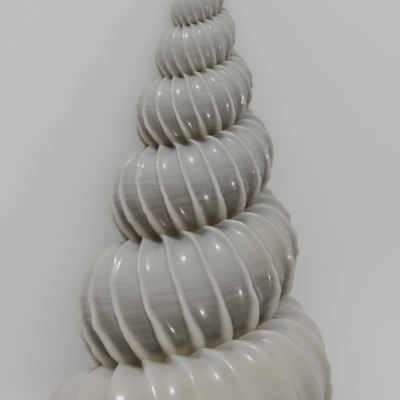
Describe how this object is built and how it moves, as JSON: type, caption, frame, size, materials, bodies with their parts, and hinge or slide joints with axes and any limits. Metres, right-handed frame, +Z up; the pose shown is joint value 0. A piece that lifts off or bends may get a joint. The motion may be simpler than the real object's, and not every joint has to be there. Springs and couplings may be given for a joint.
{
  "type": "wentletrap shell",
  "caption": "Slender high-spired sea snail shell with deep sutures, continuous leaning ribs and an open oval aperture, lying on its side.",
  "frame": {"origin": "middle of the shell's bounding box, on the surface that it lies on", "axes": "+Y towards the tip of the spire, +Z up, aperture facing down"},
  "size_m": [0.0158, 0.0336, 0.0156],
  "materials": {
    "shell": "gloss"
  },
  "bodies": {
    "root": {"wentletrap_shell": "shell"}
  },
  "joints": []
}
